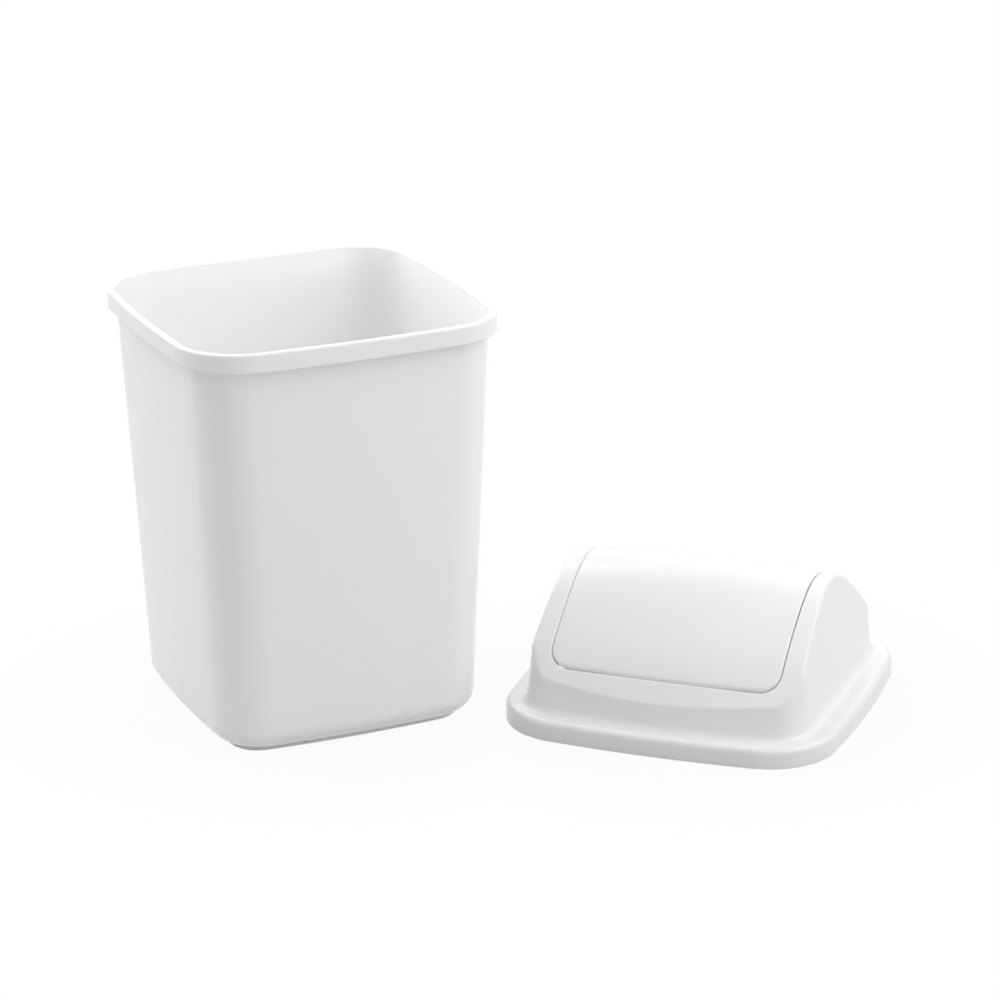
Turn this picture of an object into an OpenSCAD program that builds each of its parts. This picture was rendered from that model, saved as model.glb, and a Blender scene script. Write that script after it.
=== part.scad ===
/* [Bin] */
// Height of the bin from the table to the top of its rim
bin_h = 215; // [160:1:300]
// Width across the rim collar, the same both ways
rim_w = 170.2; // [150:0.1:220]
// Corner radius of the rim collar
rim_corner_r = 33.5; // [24:0.5:45]
// Height of the outward-stepped collar at the rim
rim_band_h = 9.7; // [6:0.1:16]
// How far the collar stands out past the body, on each side
rim_step = 5.1; // [3.5:0.1:7]
// Wall thickness of the collar
rim_wall = 3.2; // [2.4:0.1:4]
// Roundness of the collar's top edge
rim_lip_r = 1.4; // [0.5:0.1:1.6]
// How far the body narrows from the collar to its base, on each side
body_draft = 7.6; // [2:0.1:14]
// Corner radius of the body
body_corner_r = 26.4; // [20:0.2:36]
// How far each side bulges past its corners
side_bow = 1.65; // [0.4:0.05:3]
// Wall thickness of the body
bin_wall = 2.2; // [1.4:0.1:3]
// Thickness of the floor
floor_t = 2.4; // [1.6:0.1:5]
// Radius of the round between the walls and the floor
bottom_r = 10.8; // [6:0.2:16]
// Width across the flat foot under the floor
foot_w = 125.8; // [90:0.2:128]
// Corner radius of the foot
foot_corner_r = 16.2; // [8:0.2:24]
// Height of the foot
foot_h = 2.4; // [1:0.1:5]

/* [Lid base] */
// Height of the lid's ledge above its lower edge
ledge_h = 10.6; // [9:0.1:16]
// Thickness of the ledge
ledge_t = 2.4; // [1.6:0.1:3]
// Wall thickness of the skirt
skirt_wall = 2.5; // [1.6:0.1:4]
// Clearance between the skirt and the rim collar, on each side
skirt_gap = 1.6; // [0.4:0.1:3]
// Roundness of the edge between the skirt and the ledge
skirt_edge_r = 3; // [1:0.1:3.6]

/* [Hood] */
// Height of the whole lid
lid_h = 72.7; // [62:0.1:90]
// Width of the hood across its two gable ends, at its foot
hood_w = 144.4; // [132:0.2:150]
// How far the front wall lies ahead of the lid's centre
hood_front = 73.8; // [70:0.2:76]
// How far the back wall lies behind the lid's centre
hood_back = 70.2; // [67:0.2:76]
// Radius of the upright corners of the hood
hood_corner_r = 13; // [6:0.5:20]
// Radius of the round crest
crest_r = 51.7; // [42:0.1:56]
// How far the crest's centre line lies ahead of the lid's centre
crest_ahead = 1.8; // [0:0.1:5]
// Height at which the front wall bends into the front slope
front_bend_h = 21.4; // [19:0.1:26]
// Radius of the bend between the front wall and the front slope
front_bend_r = 8.5; // [5:0.1:12]
// Height at which the back wall bends into the back slope
back_bend_h = 27; // [20:0.1:30]
// Radius of the bend between the back wall and the back slope
back_bend_r = 8.8; // [5:0.1:12]
// Inward lean of the gable ends, in degrees
gable_lean = 3.4; // [0:0.1:5]
// Wall thickness of the hood
hood_wall = 2.2; // [1.6:0.1:3]
// Size of the blend between the hood's foot and the ledge
foot_blend = 4; // [1:0.1:5]

/* [Swing flap] */
// Width of the flap
flap_w = 118; // [104:0.2:120]
// How far the opening's front edge lies ahead of the lid's centre
front_reach = 66.9; // [58:0.1:67.5]
// How far the opening's back edge lies behind the lid's centre
back_reach = 60.4; // [52:0.1:62]
// Gap along each side of the flap
side_gap = 0.6; // [0.3:0.05:1.2]
// Gap along the front and back edges of the flap
end_gap = 1.4; // [1.2:0.05:2.4]
// Corner radius of the opening
opening_corner_r = 10; // [5:0.2:16]
// Thickness of the flap
flap_wall = 2; // [1.6:0.1:3]
// Depth of the flange turned in around the flap's edge
flange_depth = 6; // [4:0.1:8]
// Thickness of that flange
flange_t = 2; // [1.4:0.1:3]

/* [Hinge] */
// Depth of the hinge line below the top of the crest
pivot_drop = 12.5; // [10:0.1:16]
// How far the hinge line lies ahead of the lid's centre
pivot_ahead = 4.3; // [0:0.1:6]
// Radius of the stub pins
pin_r = 2.75; // [2:0.05:3.5]
// Clearance around a stub pin in its bore
pin_play = 0.05; // [0.02:0.01:0.1]
// How far a stub pin stands out of the flap
pin_l = 4.6; // [3.8:0.1:5.2]
// Radius of the rounded ends of the hinge ears
ear_r = 6.5; // [5:0.1:8]
// Thickness of the hinge ears
ear_t = 2.6; // [1.8:0.1:3]

/* [Arrangement] */
// How far the lid stands to the right of the bin's centre
lid_x = 184; // [184:1:320]
// How far the lid stands ahead of the bin's centre
lid_ahead = 86.1; // [0:0.1:200]
// Turn of the lid about its upright axis, in degrees
lid_turn = -44.1; // [-90:0.1:90]

/* [Hidden] */

PLASTIC = [0.93, 0.93, 0.925];
SIDE_STEPS = 4;             // stretches in a bowed side
CORNER_STEPS = 6;           // stretches in a quarter round
EDGE_STEPS = 3;             // stretches in a small rounded edge
CREST_STEPS = 20;           // stretches in the round crest
OVERCUT = 1;                // how far a cut runs past the face it opens
$fn = 96;

rim_half = rim_w / 2;
shoulder_z = bin_h - rim_band_h;
shoulder_half = rim_half - rim_step;
base_half = shoulder_half - body_draft;
base_z = foot_h + bottom_r;
floor_z = foot_h + floor_t;
body_slope = body_draft / (shoulder_z - base_z);
shoulder_soft = rim_step - rim_wall + bin_wall;

skirt_half = rim_half + skirt_gap;
lid_half = skirt_half + skirt_wall;
skirt_corner_r = rim_corner_r + skirt_gap;
lid_corner_r = skirt_corner_r + skirt_wall;

hood_half = hood_w / 2;
hood_mid_y = (hood_back - hood_front) / 2;
hood_half_depth = (hood_back + hood_front) / 2;
hood_bow = 1;
crest_at = [-crest_ahead, lid_h - crest_r];
front_bend_at = [-hood_front + front_bend_r, front_bend_h];
back_bend_at = [hood_back - back_bend_r, back_bend_h];
front_lean = slope_angle(front_bend_at, front_bend_r, -1);
back_lean = slope_angle(back_bend_at, back_bend_r, 1);

window_half = flap_w / 2 + side_gap;
window_deep = crest_r * (1 - cos(max(front_lean, back_lean))) + hood_wall + flange_depth + 4;
cheek_x = flap_w / 2 - flange_t;
pivot_at = [-pivot_ahead, lid_h - pivot_drop];

// ---- outlines ----

// Points on an arc about a centre, from one angle to another
function arc(centre, r, from, to, steps) =
    [for (i = [0:steps]) let (a = from + (to - from) * i / steps) centre + r * [cos(a), sin(a)]];

// A list of points without its first and last
function inner(list) = [for (i = [1:len(list) - 2]) list[i]];

// Radius of the shallow arc that bows out by bow between two corner rounds whose
// centres lie at -c and c along the side, and the angle that half of it turns through
function bow_r(c, r, bow) = r + (c * c + bow * bow) / (2 * bow);
function bow_angle(c, bow) = asin(2 * bow * c / (c * c + bow * bow));

// Closed outline of a rectangle with round corners and sides that bow out a little,
// each side running smoothly into the corners
function bowed_rect(hx, hy, r, bow) =
    let (cx = hx - bow - r, cy = hy - bow - r,
         rx = bow_r(cy, r, bow), ry = bow_r(cx, r, bow),
         ax = bow_angle(cy, bow), ay = bow_angle(cx, bow))
    concat(
        arc([hx - rx, 0], rx, -ax, ax, SIDE_STEPS),
        inner(arc([cx, cy], r, ax, 90 - ay, CORNER_STEPS)),
        arc([0, hy - ry], ry, 90 - ay, 90 + ay, SIDE_STEPS),
        inner(arc([-cx, cy], r, 90 + ay, 180 - ax, CORNER_STEPS)),
        arc([rx - hx, 0], rx, 180 - ax, 180 + ax, SIDE_STEPS),
        inner(arc([-cx, -cy], r, 180 + ax, 270 - ay, CORNER_STEPS)),
        arc([0, ry - hy], ry, 270 - ay, 270 + ay, SIDE_STEPS),
        inner(arc([cx, -cy], r, 270 + ay, 360 - ax, CORNER_STEPS)));

function bowed_square(half, r) = bowed_rect(half, half, r, side_bow);

// Lean from the horizontal of the straight slope that touches a bend and the crest,
// on the front (side -1) or the back (side 1)
function slope_angle(bend_at, bend_r, side) =
    let (d = bend_at - crest_at)
    90 - acos((crest_r - bend_r) / norm(d)) - atan2(d[1], side * d[0]);

// Height of a slope's surface at a distance from the lid's centre line
function slope_z(lean, side, reach) =
    crest_at[1] + (crest_r - sin(lean) * (reach - side * crest_at[0])) / cos(lean);

// Solid through a stack of outlines: each ring is [outline, height]
module loft(rings) {
    n = len(rings[0][0]);
    last = len(rings) - 1;
    points = [for (ring = rings) for (p = ring[0]) [p[0], p[1], ring[1]]];
    bottom = [for (i = [0:n - 1]) i];
    top = [for (i = [n - 1:-1:0]) last * n + i];
    sides = [for (k = [0:last - 1]) for (i = [0:n - 1]) let (
            a = k * n + i,
            b = k * n + (i + 1) % n
        ) each [[a, a + n, b + n], [a, b + n, b]]];
    polyhedron(points, concat([bottom, top], sides));
}

// Rings of a rounded edge of radius r that ends at height z: up is 1 for a top edge
// and -1 for a bottom edge
function edge_rings(half, corner_r, r, z, up, steps) =
    let (rings = [for (i = [0:steps]) let (a = 90 * i / steps, drawn = r * (1 - cos(a)))
        [bowed_square(half - drawn, corner_r - drawn), z - up * r * (1 - sin(a))]])
    up > 0 ? rings : [for (i = [steps:-1:0]) rings[i]];

// ---- bin ----

// Half width of the body's outside at a height
function body_half(z) = base_half + body_slope * (z - base_z);

// Outside of the body and its collar in one piece
module bin_form() {
    loft(concat(
        edge_rings(base_half, body_corner_r, bottom_r, foot_h, -1, CORNER_STEPS),
        [[bowed_square(shoulder_half, body_corner_r), shoulder_z],
         [bowed_square(rim_half, rim_corner_r), shoulder_z]],
        edge_rings(rim_half, rim_corner_r, rim_lip_r, bin_h, 1, EDGE_STEPS)));
}

// Space inside: a rounded floor, the body's inner wall, and a soft shoulder out to the
// wider space within the collar
module bin_space() {
    collar_half = rim_half - rim_wall;
    collar_r = rim_corner_r - rim_wall;
    inner_r = body_corner_r - bin_wall;
    low_z = shoulder_z - shoulder_soft;
    loft(concat(
        edge_rings(base_half - bin_wall, inner_r, bottom_r - bin_wall, floor_z, -1,
            CORNER_STEPS),
        [[bowed_square(body_half(low_z) - bin_wall, inner_r), low_z],
         [bowed_square(collar_half, collar_r), shoulder_z + bin_wall],
         [bowed_square(collar_half, collar_r), bin_h + OVERCUT]]));
}

module bin_body() {
    color(PLASTIC)
        difference() {
            union() {
                linear_extrude(foot_h + floor_t / 2)
                    polygon(bowed_square(foot_w / 2, foot_corner_r));
                bin_form();
            }
            bin_space();
        }
}

// ---- lid ----

module place_lid() {
    translate([lid_x, -lid_ahead, 0])
        rotate([0, 0, lid_turn])
            children();
}

// Outline of the hood seen along the crest, drawn in by inset: two upright walls, two
// straight slopes and a round crest
function hood_outline(inset) = concat(
    [[hood_back - inset, -OVERCUT]],
    arc(back_bend_at, back_bend_r - inset, 0, 90 - back_lean, CORNER_STEPS),
    arc(crest_at, crest_r - inset, 90 - back_lean, 90 + front_lean, CREST_STEPS),
    arc(front_bend_at, front_bend_r - inset, 90 + front_lean, 180, CORNER_STEPS),
    [[inset - hood_front, -OVERCUT]]);

// The outline as a bar along the crest, from x = from_x to x = to_x
module hood_bar(inset, from_x, to_x) {
    translate([from_x, 0, 0])
        rotate([90, 0, 90])
            linear_extrude(to_x - from_x)
                polygon(hood_outline(inset));
}

// Wide block under one leaning gable plane
module under_gable(side, inset) {
    translate([side * (hood_half - inset), 0, ledge_h])
        rotate([0, -side * gable_lean, 0])
            translate([-side * hood_w, 0, 0])
                cube([2 * hood_w, 2 * hood_w, 4 * lid_h], center = true);
}

// Solid of the hood drawn in by inset, with upright round corners and leaning gables
module hood_form(inset) {
    intersection() {
        hood_bar(inset, -hood_half, hood_half);
        translate([0, hood_mid_y, -OVERCUT])
            linear_extrude(lid_h + 2 * OVERCUT)
                polygon(bowed_rect(hood_half - inset, hood_half_depth - inset,
                    hood_corner_r - inset, hood_bow));
        under_gable(-1, inset);
        under_gable(1, inset);
    }
}

// Flat shape of one half of the opening, from its rounded edge at y = 0 upwards
module opening_end(inset, l) {
    half = window_half - inset;
    r = opening_corner_r - inset;
    translate([-half, r]) square([2 * half, l - r]);
    translate([r - half, 0]) square([2 * (half - r), 2 * r]);
    for (x = [r - half, half - r])
        translate([x, r]) circle(r);
}

// Prism through one slope, drawn in by inset at its sides and by end at its edge
module opening_prism(lean, side, reach, inset, end) {
    translate([0, side * reach, slope_z(lean, side, reach)])
        rotate([0, 0, side > 0 ? 180 : 0])
            rotate([lean, 0, 0])
                translate([0, end, -window_deep])
                    linear_extrude(window_deep + 3)
                        opening_end(inset, 1.4 * reach);
}

// The opening through both slopes and the crest
module opening(inset, end) {
    opening_prism(front_lean, -1, front_reach, inset, end);
    opening_prism(back_lean, 1, back_reach, inset, end);
}

module lid_base() {
    difference() {
        loft(concat(
            [[bowed_square(lid_half, lid_corner_r), 0]],
            edge_rings(lid_half, lid_corner_r, skirt_edge_r, ledge_h, 1, EDGE_STEPS)));
        translate([0, 0, -OVERCUT])
            linear_extrude(ledge_h - ledge_t + OVERCUT)
                polygon(bowed_square(skirt_half, skirt_corner_r));
    }
}

// Ring of the blend around the foot of the hood
function foot_ring(outset, z) = [
    [for (p = bowed_rect(hood_half + outset, hood_half_depth + outset,
        hood_corner_r + outset, hood_bow)) p + [0, hood_mid_y]], z];

module hood_foot() {
    loft([
        foot_ring(foot_blend, ledge_h - ledge_t / 2),
        foot_ring(foot_blend, ledge_h),
        foot_ring(0.35 * foot_blend, ledge_h + 0.35 * foot_blend),
        foot_ring(0, ledge_h + foot_blend)
    ]);
}

// Plate across the hinge line from x = from_x to to_x, round below and reaching up
// into the shell above it
module hinge_plate(from_x, to_x) {
    intersection() {
        translate([from_x, pivot_at[0], pivot_at[1]])
            rotate([90, 0, 90])
                linear_extrude(to_x - from_x) {
                    circle(ear_r);
                    translate([-ear_r, 0]) square([2 * ear_r, pivot_drop + OVERCUT]);
                }
        hood_bar(hood_wall / 2, from_x - OVERCUT, to_x + OVERCUT);
    }
}

// Cylinder on the hinge line
module hinge_rod(r, from_x, to_x) {
    translate([from_x, pivot_at[0], pivot_at[1]])
        rotate([0, 90, 0])
            cylinder(h = to_x - from_x, r = r);
}

module both_sides() {
    children();
    mirror([1, 0, 0])
        children();
}

module lid_shell() {
    difference() {
        union() {
            lid_base();
            hood_foot();
            intersection() {
                hood_form(0);
                translate([0, 0, ledge_h - ledge_t / 2 + lid_h])
                    cube([2 * hood_w, 2 * hood_w, 2 * lid_h], center = true);
            }
        }
        hood_form(hood_wall);
        opening(0, 0);
    }
}

module lid_cover() {
    color(PLASTIC)
        place_lid()
            difference() {
                union() {
                    lid_shell();
                    both_sides() hinge_plate(window_half, window_half + ear_t);
                }
                both_sides()
                    hinge_rod(pin_r + pin_play, window_half - OVERCUT,
                        window_half + ear_t + OVERCUT);
            }
}

// Curved skin of the flap: the part of the hood's own surface that fills the opening
module flap_skin() {
    intersection() {
        difference() {
            hood_bar(0, -flap_w / 2, flap_w / 2);
            hood_bar(flap_wall, -flap_w, flap_w);
        }
        opening(side_gap, end_gap);
    }
}

// Flange turned in all round the flap's edge
module flap_flange() {
    intersection() {
        difference() {
            hood_bar(flap_wall / 2, -flap_w / 2, flap_w / 2);
            hood_bar(flange_depth, -flap_w, flap_w);
        }
        difference() {
            opening(side_gap, end_gap);
            opening(side_gap + flange_t, end_gap + flange_t);
        }
    }
}

module swing_flap() {
    color(PLASTIC)
        place_lid() {
            flap_skin();
            flap_flange();
            both_sides() {
                hinge_plate(cheek_x, flap_w / 2);
                hinge_rod(pin_r, cheek_x, flap_w / 2 + pin_l);
            }
        }
}

bin_body();
lid_cover();
swing_flap();
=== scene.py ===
"""Countertop bin with its hooded swing lid standing beside it, in gloss white plastic.

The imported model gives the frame. Each of its three solids is replaced by a finely
rounded moulding of the same size: the bin, the hooded lid and the two-way flap.
"""

import logging
import math
from dataclasses import dataclass, field
from enum import Enum

import bmesh
import bpy
import numpy as np
from mathutils import Matrix, Vector


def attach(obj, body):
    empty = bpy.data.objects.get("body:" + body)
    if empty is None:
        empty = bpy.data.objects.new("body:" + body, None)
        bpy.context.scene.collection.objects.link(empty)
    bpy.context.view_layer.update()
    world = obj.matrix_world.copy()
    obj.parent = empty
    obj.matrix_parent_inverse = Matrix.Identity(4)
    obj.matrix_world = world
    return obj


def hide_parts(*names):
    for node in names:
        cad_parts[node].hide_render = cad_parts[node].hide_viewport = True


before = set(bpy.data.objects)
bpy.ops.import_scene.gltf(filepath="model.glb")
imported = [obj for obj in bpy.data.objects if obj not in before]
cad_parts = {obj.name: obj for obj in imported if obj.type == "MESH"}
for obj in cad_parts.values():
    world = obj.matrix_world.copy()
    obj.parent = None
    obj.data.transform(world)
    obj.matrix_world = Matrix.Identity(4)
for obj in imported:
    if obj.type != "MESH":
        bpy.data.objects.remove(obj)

MM = 0.001
FLAT = 1e-3  # bow, in mm, of a side that is drawn as good as straight
QUARTER = math.pi / 2
LID_PLACE = (0.184, -0.0861, 0.0)  # metres, where the lid stands beside the bin
LID_TURN = -44.1  # degrees, from the bin's front to the lid's
# The lid is the same white plastic as the bin. It is toned down here only because one
# set of lamps didn't suit both; for other light, give it the bin's colour.
LID_WHITE = (0.9, 0.9, 0.9)

log = logging.getLogger("bin")


class Body(Enum):
    """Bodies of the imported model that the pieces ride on."""

    BIN = "bin"
    LID = "lid"
    FLAP = "flap"


class Slot(Enum):
    """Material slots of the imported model."""

    BIN = "bin_plastic"
    LID = "lid_plastic"
    FLAP = "flap_plastic"


# ---------------------------------------------------------------- outlines


@dataclass(frozen=True)
class RingSteps:
    """How many stretches an outline has along each side and round each corner."""

    side: int = 26
    corner: int = 16


@dataclass(frozen=True)
class SoftRectangle:
    """Rectangle seen from above, with round corners and gently bowed sides, in mm."""

    half_x: float
    half_y: float
    corner: float
    bow_x: float = FLAT
    bow_y: float = FLAT
    middle_y: float = 0.0

    def inset(self, by: float) -> "SoftRectangle":
        """The same outline drawn in by a distance, as a parallel curve."""
        return SoftRectangle(self.half_x - by, self.half_y - by, self.corner - by,
                             self.bow_x, self.bow_y, self.middle_y)

    def trace(self, steps: RingSteps) -> tuple[np.ndarray, np.ndarray]:
        """Walks once round the outline.

        Args:
            steps: How finely the sides and corners are divided.

        Returns:
            The points and their outward normals, both N x 2.
        """
        cx = self.half_x - self.bow_x - self.corner
        cy = self.half_y - self.bow_y - self.corner
        rx = self.corner + (cy * cy + self.bow_x ** 2) / (2 * self.bow_x)
        ry = self.corner + (cx * cx + self.bow_y ** 2) / (2 * self.bow_y)
        ax = math.asin(2 * self.bow_x * cy / (cy * cy + self.bow_x ** 2))
        ay = math.asin(2 * self.bow_y * cx / (cx * cx + self.bow_y ** 2))
        arcs = (
            (self.half_x - rx, 0.0, rx, -ax, ax, steps.side),
            (cx, cy, self.corner, ax, QUARTER - ay, steps.corner),
            (0.0, self.half_y - ry, ry, QUARTER - ay, QUARTER + ay, steps.side),
            (-cx, cy, self.corner, QUARTER + ay, 2 * QUARTER - ax, steps.corner),
            (rx - self.half_x, 0.0, rx, 2 * QUARTER - ax, 2 * QUARTER + ax, steps.side),
            (-cx, -cy, self.corner, 2 * QUARTER + ax, 3 * QUARTER - ay, steps.corner),
            (0.0, ry - self.half_y, ry, 3 * QUARTER - ay, 3 * QUARTER + ay, steps.side),
            (cx, -cy, self.corner, 3 * QUARTER + ay, 4 * QUARTER - ax, steps.corner),
        )
        points, normals = [], []
        for centre_x, centre_y, radius, start, end, count in arcs:
            angle = np.linspace(start, end, count, endpoint=False)
            direction = np.stack([np.cos(angle), np.sin(angle)], axis=1)
            points.append(direction * radius + (centre_x, centre_y + self.middle_y))
            normals.append(direction)
        return np.concatenate(points), np.concatenate(normals)


def quarter_round(steps: int) -> list[tuple[float, float]]:
    """Sine and one minus cosine of a quarter turn, from its start to its end."""
    angles = np.linspace(0.0, QUARTER, steps + 1)
    return [(math.sin(a), 1.0 - math.cos(a)) for a in angles]


def smooth_step(value: np.ndarray | float) -> np.ndarray | float:
    """Smooth rise from 0 to 1 as value goes from 0 to 1."""
    clipped = np.clip(value, 0.0, 1.0)
    return clipped * clipped * (3.0 - 2.0 * clipped)


def unit(vectors: np.ndarray) -> np.ndarray:
    """Vectors along the last axis scaled to length one."""
    return vectors / np.maximum(np.linalg.norm(vectors, axis=-1, keepdims=True), 1e-12)


def at_height(points: np.ndarray, height: float) -> np.ndarray:
    """N x 2 points lifted to a height, as N x 3 points."""
    return np.column_stack([points, np.full(len(points), height)])


# ---------------------------------------------------------------- meshes


class Skin:
    """Points and faces gathered for one mesh, in millimetres."""

    def __init__(self) -> None:
        """Starts with nothing."""
        self.points: list[np.ndarray] = []
        self.faces: list[tuple[int, ...]] = []
        self.count = 0

    def add(self, points: np.ndarray) -> np.ndarray:
        """Adds points.

        Args:
            points: Points in a row or grid of any shape, with x, y, z last.

        Returns:
            Their indices, in the same shape.
        """
        flat = points.reshape(-1, 3)
        start = self.count
        self.points.append(flat)
        self.count += len(flat)
        return np.arange(start, self.count).reshape(points.shape[:-1])

    def bridge(self, first: np.ndarray, second: np.ndarray) -> None:
        """Joins two closed rings with a band of quads.

        Args:
            first: Indices of the one ring.
            second: Indices of the other, as many.
        """
        for i in range(len(first)):
            j = (i + 1) % len(first)
            self.faces.append((first[i], first[j], second[j], second[i]))

    def loft(self, rings: np.ndarray | list[np.ndarray], closed: bool = False) -> np.ndarray:
        """Adds a stack of closed rings and joins each to the next.

        Args:
            rings: K rings of N points.
            closed: Whether the last ring is joined back to the first.

        Returns:
            The indices, K x N.
        """
        index = self.add(np.asarray(rings))
        for lower, upper in zip(index[:-1], index[1:]):
            self.bridge(lower, upper)
        if closed:
            self.bridge(index[-1], index[0])
        return index

    def cap(self, ring: np.ndarray, middle: np.ndarray, rings: int = 6) -> None:
        """Closes a ring with bands that shrink to a middle point.

        Args:
            ring: Indices of the ring.
            middle: The middle point.
            rings: Number of bands.
        """
        edge = np.concatenate(self.points)[ring]
        last = ring
        for step in range(1, rings):
            share = step / rings
            current = self.add(edge * (1 - share) + middle * share)
            self.bridge(last, current)
            last = current
        centre = int(self.add(middle.reshape(1, 3))[0])
        for i in range(len(last)):
            self.faces.append((last[i], last[(i + 1) % len(last)], centre))

    def grid(self, points: np.ndarray) -> np.ndarray:
        """Adds an open grid of points with quads between them.

        Args:
            points: The grid, M x N x 3.

        Returns:
            The indices, M x N.
        """
        index = self.add(points)
        for i in range(index.shape[0] - 1):
            for j in range(index.shape[1] - 1):
                self.faces.append((index[i, j], index[i + 1, j],
                                   index[i + 1, j + 1], index[i, j + 1]))
        return index

    def build(self, name: str, place: Matrix, sharp_over: float = 50.0) -> bpy.types.Object:
        """Makes the mesh object.

        Args:
            name: Name of the piece.
            place: Where the piece's own millimetre frame lies, in metres.
            sharp_over: Angle in degrees above which an edge is shaded as sharp.

        Returns:
            The object, linked to the scene, with its place in its vertices.
        """
        mesh = bpy.data.meshes.new(name)
        points = np.concatenate(self.points) * MM
        mesh.from_pydata(points.tolist(), [], [tuple(int(i) for i in f) for f in self.faces])
        work = bmesh.new()
        work.from_mesh(mesh)
        bmesh.ops.recalc_face_normals(work, faces=work.faces)
        work.to_mesh(mesh)
        work.free()
        mesh.transform(place)
        mesh.shade_smooth()
        mesh.set_sharp_from_angle(angle=math.radians(sharp_over))
        piece = bpy.data.objects.new(name, mesh)
        bpy.context.scene.collection.objects.link(piece)
        return piece


# ---------------------------------------------------------------- shader graph


class Signal:
    """A socket, or a plain number, in an expression of shader maths."""

    def __init__(self, graph: "ShaderGraph", value: "bpy.types.NodeSocket | float") -> None:
        """Wraps the output socket or the number."""
        self.graph = graph
        self.value = value

    def _math(self, operation: str, *others: "Signal | float") -> "Signal":
        """Adds a Math node with this value and the others."""
        return self.graph.node("ShaderNodeMath", {"operation": operation},
                               dict(enumerate((self, *others))))

    def __add__(self, other: "Signal | float") -> "Signal":
        """Sum."""
        return self._math("ADD", other)

    def __radd__(self, other: float) -> "Signal":
        """Sum with the number first."""
        return self._math("ADD", other)

    def __sub__(self, other: "Signal | float") -> "Signal":
        """Difference."""
        return self._math("SUBTRACT", other)

    def __rsub__(self, other: float) -> "Signal":
        """Difference with the number first."""
        return self.graph.number(other)._math("SUBTRACT", self)

    def __mul__(self, other: "Signal | float") -> "Signal":
        """Product."""
        return self._math("MULTIPLY", other)

    def __rmul__(self, other: float) -> "Signal":
        """Product with the number first."""
        return self._math("MULTIPLY", other)

    def least(self, other: "Signal | float") -> "Signal":
        """The smaller of two values."""
        return self._math("MINIMUM", other)

    def clamp(self) -> "Signal":
        """The value held between 0 and 1."""
        return self.graph.node("ShaderNodeClamp", {}, {"Value": self})


class ShaderGraph:
    """Node tree of one material or world."""

    def __init__(self, tree: bpy.types.NodeTree) -> None:
        """Empties the tree and starts on it."""
        self.tree = tree
        tree.nodes.clear()

    def number(self, value: float) -> Signal:
        """A plain number that can start an expression."""
        return Signal(self, value)

    def node(self, kind: str, settings: dict[str, object] | None = None,
             inputs: dict[str | int, object] | None = None,
             output: str | int = 0) -> Signal:
        """Adds a node.

        Args:
            kind: Type name of the node.
            settings: Properties, set before the sockets.
            inputs: Values or links by socket name or number.
            output: Socket that the returned signal stands for.

        Returns:
            The chosen output.
        """
        made = self.tree.nodes.new(kind)
        for key, value in (settings or {}).items():
            setattr(made, key, value)
        for key, value in (inputs or {}).items():
            self._feed(made.inputs[key], value)
        return Signal(self, made.outputs[output] if len(made.outputs) else 0.0)

    def _feed(self, socket: bpy.types.NodeSocket, value: object) -> None:
        """Feeds a socket.

        Args:
            socket: The input socket.
            value: Signal that is linked to it, or the value that it is set to.
        """
        if isinstance(value, Signal):
            value = value.value
        if isinstance(value, bpy.types.NodeSocket):
            self.tree.links.new(value, socket)
        else:
            socket.default_value = value


# ---------------------------------------------------------------- finishes


@dataclass(frozen=True)
class GlossWhite:
    """Semi-gloss white injection-moulded polypropylene.

    The surface has the slow waves of a large moulding, faint sink and flow marks, and
    the fine skin of a satin-polished mould.
    """

    name: str
    colour: tuple[float, float, float] = (0.965, 0.965, 0.965)
    tone: float = 0.010  # share by which the colour varies either way
    roughness: float = 0.22
    roughness_spread: float = 0.04
    ior: float = 1.49
    cloud_size: float = 12.0  # waves per metre, as the sizes below
    wave_size: float = 20.0
    wave_depth: float = 0.05  # mm, as the depths below
    ripple_size: float = 110.0
    ripple_gloss: float = 0.5  # share of the ripples in the unevenness of the gloss
    ripple_depth: float = 0.004
    skin_size: float = 1300.0
    skin_depth: float = 0.0016

    @staticmethod
    def noise(graph: ShaderGraph, where: Signal, scale: float, detail: float) -> Signal:
        """Soft noise of a scale, in waves per metre."""
        return graph.node("ShaderNodeTexNoise", {"noise_dimensions": "3D"},
                          {"Vector": where, "Scale": scale, "Detail": detail}, "Fac")

    def build(self) -> bpy.types.Material:
        """Makes the material.

        Returns:
            The material, the same wherever the camera stands.
        """
        material = bpy.data.materials.new(self.name)
        material.use_nodes = True
        graph = ShaderGraph(material.node_tree)
        where = graph.node("ShaderNodeTexCoord", output="Object")
        cloud = self.noise(graph, where, self.cloud_size, 3.0)
        waves = self.noise(graph, where, self.wave_size, 1.0)
        ripple = self.noise(graph, where, self.ripple_size, 2.0)
        skin = self.noise(graph, where, self.skin_size, 2.0)
        low = tuple(c * (1 - self.tone) for c in self.colour) + (1.0,)
        high = tuple(min(1.0, c * (1 + self.tone)) for c in self.colour) + (1.0,)
        colour = graph.node("ShaderNodeMix", {"data_type": "RGBA"},
                            {0: cloud, 6: low, 7: high}, 2)
        middle = 0.5 * (1 + self.ripple_gloss)
        roughness = ((cloud + ripple * self.ripple_gloss - middle)
                     * self.roughness_spread + self.roughness)
        normal = None
        for height, depth in ((skin, self.skin_depth), (ripple, self.ripple_depth),
                              (waves, self.wave_depth)):
            inputs = {"Height": height, "Distance": depth * MM, "Strength": 1.0}
            if normal is not None:
                inputs["Normal"] = normal
            normal = graph.node("ShaderNodeBump", {}, inputs)
        shader = graph.node("ShaderNodeBsdfPrincipled", {},
                            {"Base Color": colour, "Roughness": roughness,
                             "IOR": self.ior, "Normal": normal})
        graph.node("ShaderNodeOutputMaterial", {}, {"Surface": shader})
        return material


# ---------------------------------------------------------------- the bin


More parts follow.
